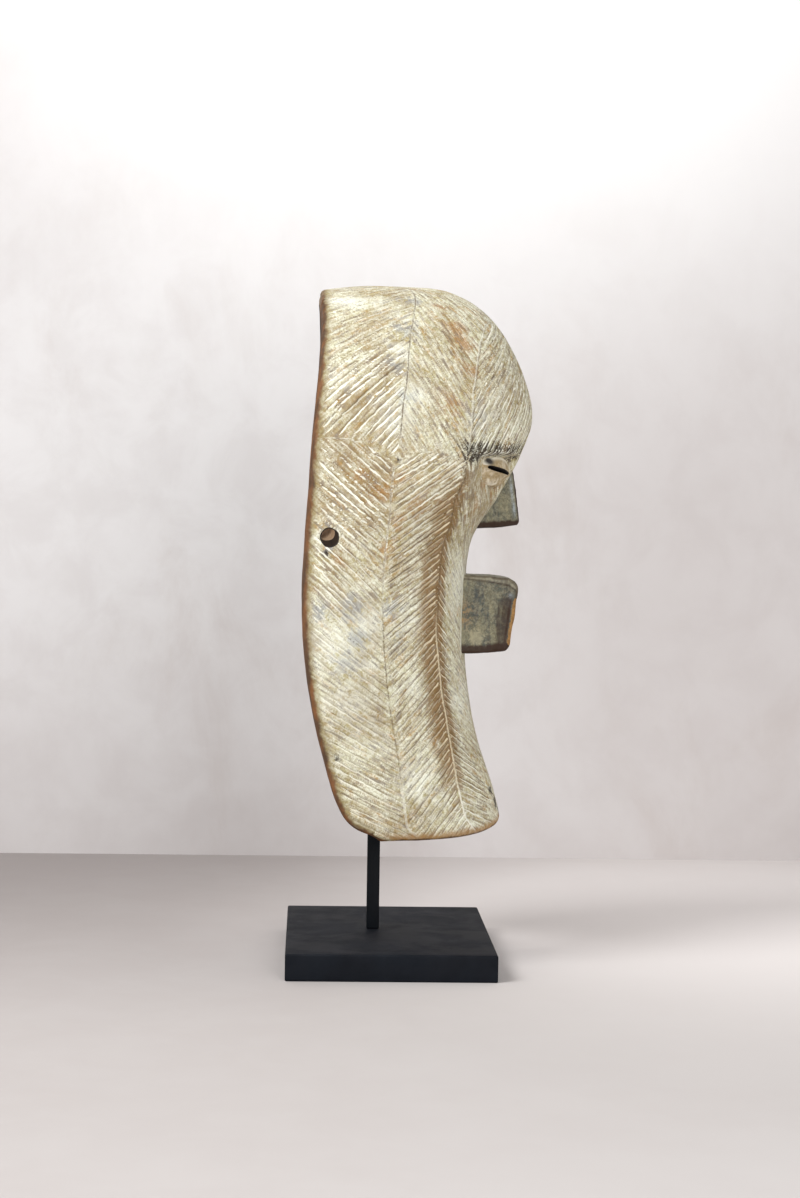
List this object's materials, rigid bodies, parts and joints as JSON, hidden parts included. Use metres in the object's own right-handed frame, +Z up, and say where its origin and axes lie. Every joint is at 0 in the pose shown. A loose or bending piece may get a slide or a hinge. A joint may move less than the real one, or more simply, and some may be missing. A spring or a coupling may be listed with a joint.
{
  "type": "songye mask on a stand",
  "caption": "Carved wooden African mask with chevron strokes, slit eyes and a box mouth, held on a square black post and base plate.",
  "frame": {"origin": "middle of the base plate's underside", "axes": "+Z up along the post, the face looks along -Y, +X to the mask's left"},
  "size_m": [0.144, 0.1176, 0.3312],
  "materials": {
    "painted_wood": "worn white pigment over brown carved wood",
    "black_metal": "satin black",
    "black_paint": "matt black paint"
  },
  "bodies": {
    "root": {"mask": "painted_wood", "stand_post": "black_metal", "stand_base": "black_paint"}
  },
  "joints": []
}
